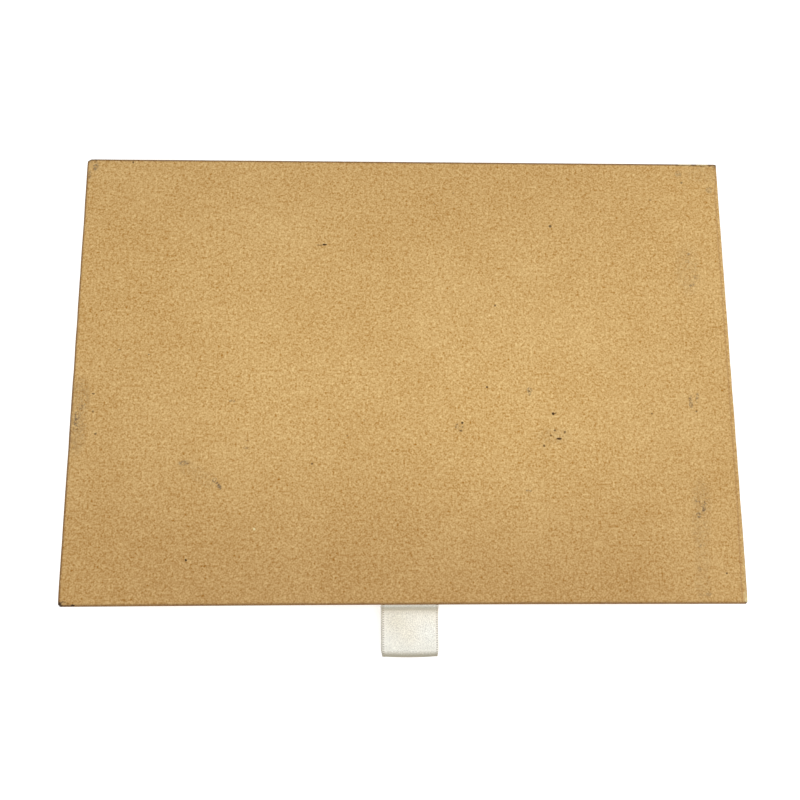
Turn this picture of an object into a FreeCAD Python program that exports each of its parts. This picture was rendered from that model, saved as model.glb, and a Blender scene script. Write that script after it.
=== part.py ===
import FreeCAD, Part
import math
import os
from collections import namedtuple
from FreeCAD import Vector

# A flat sliding drawer gift box of greyboard covered in kraft paper. A sleeve, closed at
# the back and open at the front, holds a shallow tray whose pull is a folded satin ribbon.
# +X is to the right, the mouth and the ribbon face -Y, and +Z is up. The origin is the
# centre of the sleeve's underside.

# Closed box, without its ribbon
box_width = 300.0
box_depth = 206.0
box_height = 50.0

# Sheet materials
sleeve_board = 2.0
tray_board = 2.0
paper = 0.2
tape = 0.12

# Folded edges of the covered boards, and the finer fold where the paper turns inwards
edge_round = 0.7
lip_round = 0.3

# Sleeve covering
mouth_turn_in = 18.0
back_flap = 15.0
back_sheet_inset = 3.0
base_sheet_inset = 3.0
sleeve_seam_place = -96.0

# Tray covering
tray_flap = 15.0
tray_sheet_inset = 4.0
tray_seam_place = -118.0
liner_gap = 0.3

# Cut edges of the paper: open seams, mitres, and the lap where a cover sheet steps down
seam_gap = 0.3
mitre_gap = 0.4
step_lap = 0.5
step_gap = 0.3

# Gummed tape that holds board edges, measured along each of its two legs
sleeve_tape_leg = 12.0
tray_tape_leg = 11.0

# Running clearances of the tray in the closed sleeve
side_gap = 0.8
top_gap = 1.0
glide_gap = 0.1
back_gap = 0.5
front_set_back = 0.5

# Ribbon pull: reaches are measured forwards from the sleeve's front edge
ribbon_width = 25.0
ribbon_thick = 0.3
ribbon_offset = 3.0
ribbon_reach = 24.6
level_reach = 1.7
crease_reach = 3.8
crease_drop = 2.2
crease_gap = 0.3
ribbon_tail = 16.0
fold_gap = 0.4
bonded_length = 2.0
slit_height = 0.9
slit_side_gap = 0.3
under_layer_shift = 0.5
under_layer_turn = 2.1

# Every cut runs past the body by this much, and edges this close count as in one plane
overrun = 1.0
same_plane = 0.01

# Edges that lean from an axis by less than this share of their length run along it
parallel_share = 0.01

right_angle = 90.0
axis_x = Vector(1, 0, 0)
axis_y = Vector(0, 1, 0)
axis_z = Vector(0, 0, 1)
origin = Vector(0, 0, 0)

Room = namedtuple("Room", "left right front back bottom top")


def block(room):
    size = (room.right - room.left, room.back - room.front, room.top - room.bottom)
    return Part.makeBox(*size, Vector(room.left, room.front, room.bottom))


def inset(room, by):
    near = (room.left + by, room.front + by, room.bottom + by)
    far = (room.right - by, room.back - by, room.top - by)
    return Room(near[0], far[0], near[1], far[1], near[2], far[2])


def parallel_edges(shape, axis):
    def slant(edge):
        return edge.tangentAt(edge.FirstParameter).cross(axis).Length

    return [edge for edge in shape.Edges if slant(edge) < parallel_share]


def rounded(room):
    solid = block(room)
    return solid.makeFillet(edge_round, solid.Edges)


# The boards' edges are eased flat, so that the paper's inside lies on flat faces there
edge_ease = edge_round - paper


def eased(room):
    solid = block(room)
    return solid.makeChamfer(edge_ease, solid.Edges)


def eased_along(room, axis):
    solid = block(room)
    return solid.makeChamfer(edge_ease, parallel_edges(solid, axis))


def lip_folded(shape, lip):
    # Rounds the edges that lie wholly inside the lip, a thin room round an opening's edge
    reach = block(lip).BoundBox
    edges = [edge for edge in shape.Edges if reach.isInside(edge.BoundBox)]
    return shape.makeFillet(lip_round, edges)


def mitre_cut(length, corner, sideways, normal_angle):
    # A thin slot from a corner of the folded-over flaps towards the middle of the face.
    # It is drawn on a face that looks along +Z and is then turned to its own face.
    slot = Part.makeBox(length, mitre_gap, paper + overrun, Vector(0, -mitre_gap / 2, 0))
    slot.rotate(origin, axis_z, sideways)
    slot.rotate(origin, axis_x, normal_angle)
    slot.translate(corner)
    return slot


def stepped_sheet(width, height, window_width, window_height):
    # A glued cover sheet that lies on the flaps all round, and steps down by the paper's
    # thickness on to the board inside them. It looks along +Z, and z is 0 on the flaps.
    def plate(across, along, low):
        return Part.makeBox(across, along, paper, Vector(-across / 2, -along / 2, low))

    sunk_width = window_width - 2 * step_gap
    sunk_height = window_height - 2 * step_gap
    hole = plate(sunk_width - 2 * step_lap, sunk_height - 2 * step_lap, 0)
    rim = plate(width, height, 0).cut(hole)
    return rim.fuse(plate(sunk_width, sunk_height, -paper)).removeSplitter()


def save(name, shape):
    shape.exportStep(f"parts/{name}.step")
    print(f"{name}: {shape.Volume:.1f} mm3, {len(shape.Solids)} solid, valid {shape.isValid()}")


os.makedirs("parts", exist_ok=True)

# Sleeve: the outside of its paper, the outside of its boards, and its hollow
sleeve_cover = Room(
    -box_width / 2, box_width / 2, -box_depth / 2, box_depth / 2 - paper, paper, box_height
)
sleeve_outside = inset(sleeve_cover, paper)
sleeve_hollow = inset(sleeve_outside, sleeve_board)._replace(front=sleeve_outside.front)
sleeve_core = eased(sleeve_outside)

# Tape along the sleeve's four long edges, pressed flush into the boards
tape_bed = inset(sleeve_outside, tape)._replace(
    front=sleeve_outside.front - overrun, back=sleeve_outside.back + overrun
)
tape_skin = sleeve_core.cut(eased_along(tape_bed, axis_y))
sleeve_tapes = {}
for side in ("left", "right"):
    for level in ("top", "bottom"):
        corner = sleeve_outside
        if side == "left":
            corner = corner._replace(right=corner.left + sleeve_tape_leg)
        else:
            corner = corner._replace(left=corner.right - sleeve_tape_leg)
        if level == "bottom":
            corner = corner._replace(top=corner.bottom + sleeve_tape_leg)
        else:
            corner = corner._replace(bottom=corner.top - sleeve_tape_leg)
        sleeve_tapes[f"sleeve_edge_tape_{level}_{side}"] = tape_skin.common(block(corner))
for name, shape in sleeve_tapes.items():
    save(name, shape)

# The top and base boards run the full width, the sides stand between them, and the back
# board closes the end between all four
between = {"bottom": sleeve_hollow.bottom, "top": sleeve_hollow.top}
sleeve_boards = {
    "sleeve_top_board": sleeve_outside._replace(bottom=sleeve_hollow.top),
    "sleeve_base_board": sleeve_outside._replace(top=sleeve_hollow.bottom),
    "sleeve_left_board": sleeve_outside._replace(right=sleeve_hollow.left, **between),
    "sleeve_right_board": sleeve_outside._replace(left=sleeve_hollow.right, **between),
    "sleeve_back_board": sleeve_hollow._replace(
        front=sleeve_hollow.back, back=sleeve_outside.back
    ),
}
for name, room in sleeve_boards.items():
    save(name, block(room).common(sleeve_core).cut(list(sleeve_tapes.values())))


def make_sleeve_wrap():
    # One sheet goes round the sleeve, and its two ends meet in a seam underneath
    mouth = sleeve_hollow._replace(
        front=sleeve_cover.front - overrun, back=sleeve_outside.front
    )
    shell = rounded(sleeve_cover).cut(sleeve_core).cut(block(mouth))
    # It turns in at the mouth
    turned = sleeve_hollow._replace(
        front=sleeve_cover.front, back=sleeve_outside.front + mouth_turn_in
    )
    throat = inset(turned, paper)._replace(
        front=turned.front - overrun, back=turned.back + overrun
    )
    wrap = shell.fuse(block(turned).cut(block(throat))).removeSplitter()
    lip = inset(throat, -same_plane)._replace(
        front=sleeve_cover.front - same_plane, back=sleeve_cover.front + same_plane
    )
    wrap = lip_folded(wrap, lip)
    # Its four flaps fold over the back and are mitred at the corners
    window = sleeve_cover._replace(front=sleeve_outside.back)
    window = window._replace(
        left=window.left + back_flap, right=window.right - back_flap,
        bottom=window.bottom + back_flap, top=window.top - back_flap,
        back=window.back + overrun,
    )
    cuts = [block(window)]
    for x, to_x in ((sleeve_cover.left, 1), (sleeve_cover.right, -1)):
        for z, to_z in ((sleeve_cover.bottom, 1), (sleeve_cover.top, -1)):
            corner = Vector(x + to_x * edge_round, sleeve_outside.back, z + to_z * edge_round)
            # Seen from behind, with +Z turned to +Y, the sheet's own y runs downwards
            sideways = math.degrees(math.atan2(-to_z, to_x))
            slot = mitre_cut(back_flap * math.sqrt(2), corner, sideways, -right_angle)
            cuts.append(slot)
    seam = Room(
        sleeve_seam_place - seam_gap / 2, sleeve_seam_place + seam_gap / 2,
        sleeve_cover.front - overrun, sleeve_cover.back + overrun,
        sleeve_cover.bottom - overrun, sleeve_cover.bottom + back_flap + overrun,
    )
    cuts.append(block(seam))
    return wrap.cut(cuts)


save("sleeve_wrap", make_sleeve_wrap())

# Cover sheet on the back, over the flaps
cover_width = sleeve_cover.right - sleeve_cover.left
cover_height = sleeve_cover.top - sleeve_cover.bottom
back_sheet = stepped_sheet(
    cover_width - 2 * back_sheet_inset, cover_height - 2 * back_sheet_inset,
    cover_width - 2 * back_flap, cover_height - 2 * back_flap,
)
back_sheet.rotate(origin, axis_x, -right_angle)
back_middle = (sleeve_cover.bottom + sleeve_cover.top) / 2
back_sheet.translate(Vector(0, sleeve_cover.back, back_middle))
save("sleeve_back_sheet", back_sheet)

# Cover sheet underneath, over the wrap and its seam: the box rests on it
base_sheet = Room(
    sleeve_cover.left + base_sheet_inset, sleeve_cover.right - base_sheet_inset,
    sleeve_cover.front + base_sheet_inset, sleeve_cover.back - base_sheet_inset,
    sleeve_cover.bottom - paper, sleeve_cover.bottom,
)
save("sleeve_base_sheet", block(base_sheet))

# Tray: the room in the sleeve less its clearances, then its paper, boards and hollow
tray_low = sleeve_hollow.bottom + paper + glide_gap
tray_cover = Room(
    sleeve_hollow.left + paper + side_gap, sleeve_hollow.right - paper - side_gap,
    sleeve_cover.front + front_set_back, sleeve_hollow.back - back_gap,
    tray_low + paper, sleeve_hollow.top - paper - top_gap,
)
tray_outside = inset(tray_cover, paper)
tray_hollow = inset(tray_outside, tray_board)._replace(top=tray_outside.top)
tray_core = eased(tray_outside)

# Tape round the tray's four upright corners
tape_bed = inset(tray_outside, tape)._replace(
    bottom=tray_outside.bottom - overrun, top=tray_outside.top + overrun
)
tape_skin = tray_core.cut(eased_along(tape_bed, axis_z))
tray_tapes = {}
for side in ("left", "right"):
    for end in ("front", "back"):
        corner = tray_outside._replace(bottom=tray_hollow.bottom)
        if side == "left":
            corner = corner._replace(right=corner.left + tray_tape_leg)
        else:
            corner = corner._replace(left=corner.right - tray_tape_leg)
        if end == "front":
            corner = corner._replace(back=corner.front + tray_tape_leg)
        else:
            corner = corner._replace(front=corner.back - tray_tape_leg)
        tray_tapes[f"tray_corner_tape_{end}_{side}"] = tape_skin.common(block(corner))
for name, shape in tray_tapes.items():
    save(name, shape)

# Ribbon: two layers leave the tray's front through a slit at half its height
ribbon_left = ribbon_offset - ribbon_width / 2
ribbon_right = ribbon_offset + ribbon_width / 2
slit_level = (tray_low + tray_cover.top) / 2
slit = Room(
    ribbon_left - slit_side_gap, ribbon_right + slit_side_gap,
    tray_cover.front - overrun, tray_hollow.front,
    slit_level - slit_height / 2, slit_level + slit_height / 2,
)

# The tray's walls stand on its base board, with the side walls between front and back
standing = tray_outside._replace(bottom=tray_hollow.bottom)
beside = {"front": tray_hollow.front, "back": tray_hollow.back}
tray_boards = {
    "tray_base_board": tray_outside._replace(top=tray_hollow.bottom),
    "tray_front_board": standing._replace(back=tray_hollow.front),
    "tray_back_board": standing._replace(front=tray_hollow.back),
    "tray_left_board": standing._replace(right=tray_hollow.left, **beside),
    "tray_right_board": standing._replace(left=tray_hollow.right, **beside),
}
for name, room in tray_boards.items():
    cuts = list(tray_tapes.values()) + [block(slit)]
    save(name, block(room).common(tray_core).cut(cuts))

# Seen from the side, the ribbon leaves the slit level and then drops to its crease
slit_point = Vector(0, tray_hollow.front, slit_level)
drop_point = Vector(0, sleeve_cover.front - level_reach, slit_level)
crease_point = Vector(0, sleeve_cover.front - crease_reach, slit_level - crease_drop)


def strip_profile(points, half_thick):
    # A face across X of even thickness along a line of points, with mitred bends
    runs = [(b - a).normalize() for a, b in zip(points, points[1:])]
    near, far = [], []
    for place, before, after in zip(points, runs[:1] + runs, runs + runs[-1:]):
        across = axis_x.cross(before + after).normalize()
        reach = half_thick / across.dot(axis_x.cross(before))
        near.append(place + across * reach)
        far.append(place - across * reach)
    return Part.Face(Part.makePolygon(near + far[::-1] + near[:1]))


# The ribbon's tails are glued to the front board's inside, one up and one down. With the
# two layers in the slit they make one piece. It ends far enough behind the crease for the
# loop's root to turn up or down there without touching it.
drop_run = (crease_point - drop_point).normalize()
stem_end = crease_point - drop_run * (ribbon_thick + crease_gap)
tail_stem = strip_profile([slit_point, drop_point, stem_end], ribbon_thick)
tail_stem = tail_stem.extrude(axis_x * ribbon_width)
tail_stem.translate(axis_x * ribbon_left)
tail_bed = Room(
    ribbon_left, ribbon_right, tray_hollow.front, tray_hollow.front + ribbon_thick,
    slit_level - ribbon_tail, slit_level + ribbon_tail,
)
save("ribbon_tails", tail_stem.fuse(block(tail_bed)).removeSplitter())


def ribbon_layer(side, shift, turn_angle):
    # One layer of the loop from the crease to the middle of its folded end, as a profile
    # that runs along the ribbon and is drawn out across it. The layers are bonded at the
    # root and part towards the fold.
    inner = fold_gap / 2
    outer = inner + ribbon_thick
    tip = sleeve_cover.front - ribbon_reach
    root = crease_point.y
    turn = tip + outer
    lean_share = math.tan(math.radians(turn_angle))

    def point(y, z):
        sideways = ribbon_left - shift - lean_share * (y - tip)
        return Vector(sideways, y, crease_point.z + side * z)

    bow_share = math.sqrt(0.5)
    outer_arc = Part.Arc(
        point(turn, outer), point(turn - outer * bow_share, outer * bow_share), point(tip, 0)
    )
    inner_arc = Part.Arc(
        point(turn - inner, 0), point(turn - inner * bow_share, inner * bow_share),
        point(turn, inner),
    )
    profile = Part.Wire([
        Part.makeLine(point(root, ribbon_thick), point(turn, outer)),
        outer_arc.toShape(),
        Part.makeLine(point(tip, 0), point(turn - inner, 0)),
        inner_arc.toShape(),
        Part.makeLine(point(turn, inner), point(root - bonded_length, 0)),
        Part.makeLine(point(root - bonded_length, 0), point(root, 0)),
        Part.makeLine(point(root, 0), point(root, ribbon_thick)),
    ])
    return Part.Face(profile).extrude(axis_x * ribbon_width)


# The under layer lies a little askew, so that it shows past the upper one on the left
upper_layer = ribbon_layer(1, 0, 0)
under_layer = ribbon_layer(-1, under_layer_shift, under_layer_turn)
save("ribbon_loop", upper_layer.fuse(under_layer).removeSplitter())


def make_tray_wrap():
    # One band goes round the walls, over the rim, and down their inside to the floor
    open_top = tray_hollow._replace(bottom=tray_outside.top, top=tray_cover.top + overrun)
    shell = rounded(tray_cover).cut(tray_core).cut(block(open_top))
    turned = tray_hollow._replace(top=tray_cover.top)
    well = inset(turned, paper)._replace(
        bottom=turned.bottom - overrun, top=turned.top + overrun
    )
    wrap = shell.fuse(block(turned).cut(block(well))).removeSplitter()
    lip = inset(well, -same_plane)._replace(
        bottom=tray_cover.top - same_plane, top=tray_cover.top + same_plane
    )
    wrap = lip_folded(wrap, lip)
    # It stands up over the ribbon's tails, and its outside is slit for the ribbon
    raised = inset(tail_bed, -paper)._replace(front=tail_bed.front)
    wrap = wrap.fuse(block(raised)).removeSplitter()
    # Its four flaps fold under the base and are mitred at the corners
    window = Room(
        tray_cover.left + tray_flap, tray_cover.right - tray_flap,
        tray_cover.front + tray_flap, tray_cover.back - tray_flap,
        tray_cover.bottom - overrun, tray_outside.bottom,
    )
    cuts = [block(tail_bed), block(slit), block(window)]
    for x, to_x in ((tray_cover.left, 1), (tray_cover.right, -1)):
        for y, to_y in ((tray_cover.front, 1), (tray_cover.back, -1)):
            corner = Vector(x + to_x * edge_round, y + to_y * edge_round, tray_outside.bottom)
            # Seen from below, the face's own y runs from back to front
            sideways = math.degrees(math.atan2(-to_y, to_x))
            slot = mitre_cut(tray_flap * math.sqrt(2), corner, sideways, 2 * right_angle)
            cuts.append(slot)
    seam = Room(
        tray_seam_place - seam_gap / 2, tray_seam_place + seam_gap / 2,
        tray_cover.back - tray_flap - overrun, tray_cover.back + overrun,
        tray_cover.bottom - overrun, tray_cover.top + overrun,
    )
    cuts.append(block(seam))
    return wrap.cut(cuts)


save("tray_wrap", make_tray_wrap())

# Cover sheet under the tray, over the flaps
tray_width = tray_cover.right - tray_cover.left
tray_depth = tray_cover.back - tray_cover.front
tray_sheet = stepped_sheet(
    tray_width - 2 * tray_sheet_inset, tray_depth - 2 * tray_sheet_inset,
    tray_width - 2 * tray_flap, tray_depth - 2 * tray_flap,
)
tray_sheet.rotate(origin, axis_x, 2 * right_angle)
tray_middle = (tray_cover.front + tray_cover.back) / 2
tray_sheet.translate(Vector(0, tray_middle, tray_cover.bottom))
save("tray_base_sheet", tray_sheet)

# Loose-cut paper on the tray's floor, between the lined walls
liner = inset(tray_hollow, paper + liner_gap)._replace(
    bottom=tray_hollow.bottom, top=tray_hollow.bottom + paper
)
save("tray_floor_liner", block(liner))

print(f"ribbon crease at x {ribbon_offset:.2f}, y {crease_point.y:.2f}, z {crease_point.z:.2f}")
print(f"tray hollow {inset(tray_hollow, paper)}")
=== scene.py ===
import bpy
import math
import numpy as np
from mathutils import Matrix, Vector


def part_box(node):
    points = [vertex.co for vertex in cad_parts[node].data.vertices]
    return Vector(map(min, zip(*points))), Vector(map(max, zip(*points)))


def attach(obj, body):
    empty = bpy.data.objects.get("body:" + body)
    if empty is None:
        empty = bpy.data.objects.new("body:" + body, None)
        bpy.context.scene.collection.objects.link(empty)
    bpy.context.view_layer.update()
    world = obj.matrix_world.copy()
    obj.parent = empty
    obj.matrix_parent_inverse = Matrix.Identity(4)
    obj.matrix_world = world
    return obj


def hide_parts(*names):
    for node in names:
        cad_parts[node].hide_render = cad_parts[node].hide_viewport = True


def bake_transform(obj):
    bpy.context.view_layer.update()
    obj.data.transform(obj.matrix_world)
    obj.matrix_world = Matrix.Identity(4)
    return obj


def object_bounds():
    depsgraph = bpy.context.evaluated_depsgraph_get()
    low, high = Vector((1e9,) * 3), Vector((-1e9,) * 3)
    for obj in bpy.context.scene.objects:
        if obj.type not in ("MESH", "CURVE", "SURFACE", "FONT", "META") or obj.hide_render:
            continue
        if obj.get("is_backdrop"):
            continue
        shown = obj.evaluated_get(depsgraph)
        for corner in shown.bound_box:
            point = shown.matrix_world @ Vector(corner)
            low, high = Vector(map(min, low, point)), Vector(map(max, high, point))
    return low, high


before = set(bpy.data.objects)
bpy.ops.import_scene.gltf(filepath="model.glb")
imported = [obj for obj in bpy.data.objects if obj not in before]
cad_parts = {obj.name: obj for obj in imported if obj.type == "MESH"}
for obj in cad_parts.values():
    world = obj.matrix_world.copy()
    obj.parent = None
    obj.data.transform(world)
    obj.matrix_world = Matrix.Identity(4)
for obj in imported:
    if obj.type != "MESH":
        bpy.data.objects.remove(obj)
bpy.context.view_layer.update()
mm = 0.001


def boxOf(node):
    # A node's lowest and highest corners in millimetres
    low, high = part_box(node)
    return np.array(low) / mm, np.array(high) / mm


# Meshes

def softNoise(points, cell, seed):
    # Smooth random values from -1 to 1: numbers on a lattice of the cell's size, mixed from
    # its whole-number places by large odd factors, and blended between its corners with the
    # curve 3t^2 - 2t^3 along each axis
    place = points / cell + 1000.0
    base = np.floor(place).astype(np.int64)
    part = place - base
    part = part * part * (3 - 2 * part)
    total = np.zeros(points.shape[:-1])
    for corner in np.ndindex(2, 2, 2):
        at = base + np.array(corner)
        mixed = at[..., 0] * 73856093 ^ at[..., 1] * 19349663 ^ at[..., 2] * 83492791
        mixed = (mixed ^ seed * 2654435761) & 0xFFFFFFFF
        mixed = (mixed ^ (mixed >> 15)) * 2246822519 & 0xFFFFFFFF
        mixed = (mixed ^ (mixed >> 13)) * 3266489917 & 0xFFFFFFFF
        value = ((mixed ^ (mixed >> 16)) & 0xFFFF) / 32767.5 - 1
        share = np.where(np.array(corner) == 1, part, 1 - part).prod(axis=-1)
        total += value * share
    return total


def smoothStep(low, high, value):
    # 0 below low, 1 above high, and 3t^2 - 2t^3 between
    t = np.clip((value - low) / (high - low), 0, 1)
    return t * t * (3 - 2 * t)


def spacedSteps(length, fine, coarse, growth=1.3):
    # Places from 0 to length, close at both ends and growing by a ratio to the coarse step
    steps = [fine]
    while sum(steps) < length / 2:
        steps.append(min(steps[-1] * growth, coarse))
    half = np.concatenate([[0], np.cumsum(steps)])
    half *= length / 2 / half[-1]
    return np.concatenate([half, length - half[-2::-1]])


def withPlaces(steps, places, apart):
    # Adds exact places to a list of steps, and drops the steps that lie too near to them
    for place in places:
        steps = steps[np.abs(steps - place) > apart]
    return np.sort(np.concatenate([steps, places]))


def shellFaces(rows, columns, hole=None):
    # Quads of two grids of points, one turned over, and of the rims that join them. A hole
    # is first row, last row, first column, last column of the grid lines round it.
    index = np.arange(rows * columns).reshape(rows, columns)
    quads = np.stack([index[:-1, :-1], index[:-1, 1:], index[1:, 1:], index[1:, :-1]], -1)
    keep = np.ones(quads.shape[:2], bool)
    around = [index[0, :-1], index[:-1, -1], index[-1, :0:-1], index[:0:-1, 0]]
    rings = [np.concatenate(around)]
    if hole:
        r0, r1, c0, c1 = hole
        keep[r0:r1, c0:c1] = False
        ring = [index[r0, c0:c1], index[r0:r1, c1], index[r1, c1:c0:-1], index[r1:r0:-1, c0]]
        rings.append(np.concatenate(ring)[::-1])
    front = quads[keep]
    parts = [front, front[:, ::-1] + rows * columns]
    for ring in rings:
        after = np.roll(ring, -1)
        parts.append(np.stack([after, ring, ring + rows * columns, after + rows * columns], -1))
    return np.concatenate(parts)


def placed(name, data):
    # A new object in the scene, at the origin
    thing = bpy.data.objects.new(name, data)
    bpy.context.scene.collection.objects.link(thing)
    return thing


def makePiece(name, points, quads, sheetPlace=None, facts=None, sharpAngle=40):
    # One closed mesh from points in millimetres, the corners of its quads, its place on the
    # flat paper as UV in metres, and named numbers for each point
    points = points.reshape(-1, 3)
    corners = points[quads]
    twist = np.cross(corners[:, 2] - corners[:, 0], corners[:, 3] - corners[:, 1])
    if (twist * corners.mean(axis=1)).sum() < 0:
        quads = quads[:, ::-1]
    mesh = bpy.data.meshes.new(name)
    mesh.vertices.add(len(points))
    mesh.vertices.foreach_set("co", (points * mm).astype(np.float32).ravel())
    mesh.loops.add(quads.size)
    mesh.loops.foreach_set("vertex_index", quads.astype(np.int32).ravel())
    mesh.polygons.add(len(quads))
    mesh.polygons.foreach_set("loop_start", np.arange(0, quads.size, 4, dtype=np.int32))
    mesh.update(calc_edges=True)
    if sheetPlace is not None:
        flat = sheetPlace.reshape(-1, 2)[quads.ravel()] * mm
        layer = mesh.uv_layers.new(name="sheet")
        layer.data.foreach_set("uv", flat.astype(np.float32).ravel())
    for label, values in (facts or {}).items():
        attribute = mesh.attributes.new(label, "FLOAT", "POINT")
        attribute.data.foreach_set("value", values.astype(np.float32).ravel())
    mesh.polygons.foreach_set("use_smooth", np.ones(len(quads), bool))
    mesh.set_sharp_from_angle(angle=math.radians(sharpAngle))
    return placed(name, mesh)


def paperFacts(edge, corner, crease, rubbed, soiled, stray):
    # What the paper's finish asks about each point, the same on both faces
    labels = ["edgeDistance", "cornerDistance", "creaseDistance", "rubbed", "soiled", "strayShare"]
    values = np.broadcast_arrays(edge, corner, crease, rubbed, soiled, stray)
    return {label: np.stack([value, value]) for label, value in zip(labels, values)}


def dress(piece, body, nodes, material):
    # Puts a piece on its body in place of its nodes, with its finish
    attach(piece, body)
    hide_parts(*nodes)
    piece.data.materials.append(material)


# Shader nodes

def newFinish(name):
    material = bpy.data.materials.new(name)
    material.use_nodes = True
    tree = material.node_tree
    return material, tree, tree.nodes["Principled BSDF"]


def put(tree, socket, value):
    if isinstance(value, bpy.types.NodeSocket):
        tree.links.new(value, socket)
    else:
        socket.default_value = value


def add(tree, kind, inputs, output=0, **settings):
    # A shader node with its inputs and settings, given back as one of its output sockets,
    # or as nothing where it is the tree's end
    node = tree.nodes.new("ShaderNode" + kind)
    for key, value in settings.items():
        setattr(node, key, value)
    for key, value in inputs.items():
        put(tree, node.inputs[key], value)
    return None if output is None else node.outputs[output]


def calc(tree, operation, first, second=0.0, third=0.0):
    return add(tree, "Math", {0: first, 1: second, 2: third}, operation=operation)


def vector(tree, operation, first, second=None, third=None, amount=None, output=0):
    # Vector arithmetic: amount is what a vector is scaled by, and lengths are output 1
    inputs = {0: first, 1: second, 2: third, 3: amount}
    inputs = {key: value for key, value in inputs.items() if value is not None}
    return add(tree, "VectorMath", inputs, output, operation=operation)


def scaled(tree, place, amount):
    return vector(tree, "SCALE", place, amount=amount)


def distance(tree, place, centre):
    return vector(tree, "DISTANCE", place, centre, output=1)


def apart(tree, place):
    # The three parts of a vector
    node = tree.nodes.new("ShaderNodeSeparateXYZ")
    put(tree, node.inputs[0], place)
    return node.outputs


def grain(tree, place, size, detail=3.0, roughness=0.6, distortion=0.0, output=0):
    # Noise from 0 to 1 whose main lumps are about size millimetres apart. Output 1 is
    # three such noises as a vector.
    inputs = {
        "Vector": place, "Scale": 1 / size, "Detail": detail, "Roughness": roughness,
        "Distortion": distortion,
    }
    return add(tree, "TexNoise", inputs, output)


def ramp(tree, value, low, high, toLow=0.0, toHigh=1.0, smooth=True):
    # A value carried from low..high on to toLow..toHigh, and held at the ends
    inputs = {0: value, 1: low, 2: high, 3: toLow, 4: toHigh}
    kind = "SMOOTHSTEP" if smooth else "LINEAR"
    return add(tree, "MapRange", inputs, interpolation_type=kind)


def tint(tree, share, first, second):
    # A colour between two, by share
    return add(tree, "Mix", {0: share, 6: first, 7: second}, 2, data_type="RGBA")


def fact(tree, name):
    # A piece's attribute as a number
    return add(tree, "Attribute", {}, 2, attribute_name=name)


def inMillimetres(tree, flat):
    # The point's place in millimetres: on the flat paper, or in the object
    if flat:
        place = add(tree, "UVMap", {}, uv_map="sheet")
    else:
        place = add(tree, "TexCoord", {}, 3)
    return scaled(tree, place, 1 / mm)


def finished(tree, surface, colour, height, look):
    # Joins colour and relief to the shader, with the plain numbers of the finish
    relief = {"Strength": look["relief"], "Distance": look["reliefDepth"], "Height": height}
    inputs = {
        "Base Color": colour, "Roughness": look["roughness"],
        "Specular IOR Level": look["gloss"], "Normal": add(tree, "Bump", relief),
    }
    for key, value in inputs.items():
        put(tree, surface.inputs[key], value)


kraft = {
    "colour": (0.620, 0.394, 0.149), "swing": (0.54, 0.515, 0.31),
    # Size in millimetres, swing, octaves above the first and curl of each noise
    "lumps": [
        (0.75, 0.75, 0, 0.3), (1.4, 0.42, 0, 0.3), (2.8, 0.17, 1, 0.2), (7.0, 0.13, 1, 0.0),
        (22.0, 0.13, 1, 0.0), (60.0, 0.12, 1, 0.0),
    ],
    "fleckSize": 1.1, "fleckFrom": 0.56, "fleckTo": 0.70, "fleckDepth": 0.16,
    "hairLength": 2.2, "hairWidth": 0.07, "hairDeep": 0.56, "hairAmount": 0.07,
    "hairBend": 2.4, "hairBendSize": 4.0, "hairFrom": 0.60, "hairTo": 0.72, "hairRise": 0.3,
    "paleTurns": (20, -55), "darkTurn": 80, "darkScale": 1.13,
    "roughness": 0.80, "roughSwing": 0.06, "gloss": 0.25,
    "relief": 0.5, "reliefDepth": 0.00004, "toothSize": 0.3,
    "edgeColour": (0.15, 0.070, 0.025, 1), "soilColour": (0.075, 0.055, 0.038, 1),
    "creaseColour": (0.32, 0.16, 0.06, 1), "smudgesColour": (0.115, 0.085, 0.058, 1),
    "specksColour": (0.055, 0.023, 0.003, 1), "sootColour": (0.032, 0.012, 0.001, 1),
    # The pale colour serves both the pale marks and the painted light outside the sprung crease
    "paleColour": (0.74, 0.62, 0.33, 1), "straySize": 2.4, "strayFrom": 0.77, "strayTo": 0.80,
}

# Wear, painted shade on the folded edges and painted light outside the crease, by distance in
# millimetres: from and to where it fades, and its strength
worn = {
    "crease": (0.05, 0.70, 0.36), "pale": (-0.7, -1.9, 0.20), "paleEnd": (-3.6, -3.0),
    "edge": (0.55, 1.42, 1.0), "corner": (0.4, 3.0, 1.0),
    # Noises that move these distances: size, reach either way, and share for each line
    "raggedSize": 0.9, "ragged": 0.4, "patchSize": 9.0, "patchy": 0.225,
    "creaseShare": 0.35, "edgeShare": 0.7, "cornerShare": 3.0,
}


def hairs(tree, place, turn):
    # Thin curved hairs: noise stretched along one direction, bent by a wider noise
    bend = grain(tree, place, kraft["hairBendSize"], 1.0, 0.5, output=1)
    bent = vector(tree, "MULTIPLY_ADD", bend, (kraft["hairBend"],) * 3, place)
    inputs = {
        "Vector": bent, "Rotation": (0, 0, math.radians(turn)),
        "Scale": (kraft["hairLength"], kraft["hairWidth"], kraft["hairDeep"]),
    }
    turned = add(tree, "Mapping", inputs, vector_type="TEXTURE")
    return ramp(tree, grain(tree, turned, 1.0, 1.0, 0.5), kraft["hairFrom"], kraft["hairTo"])


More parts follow.
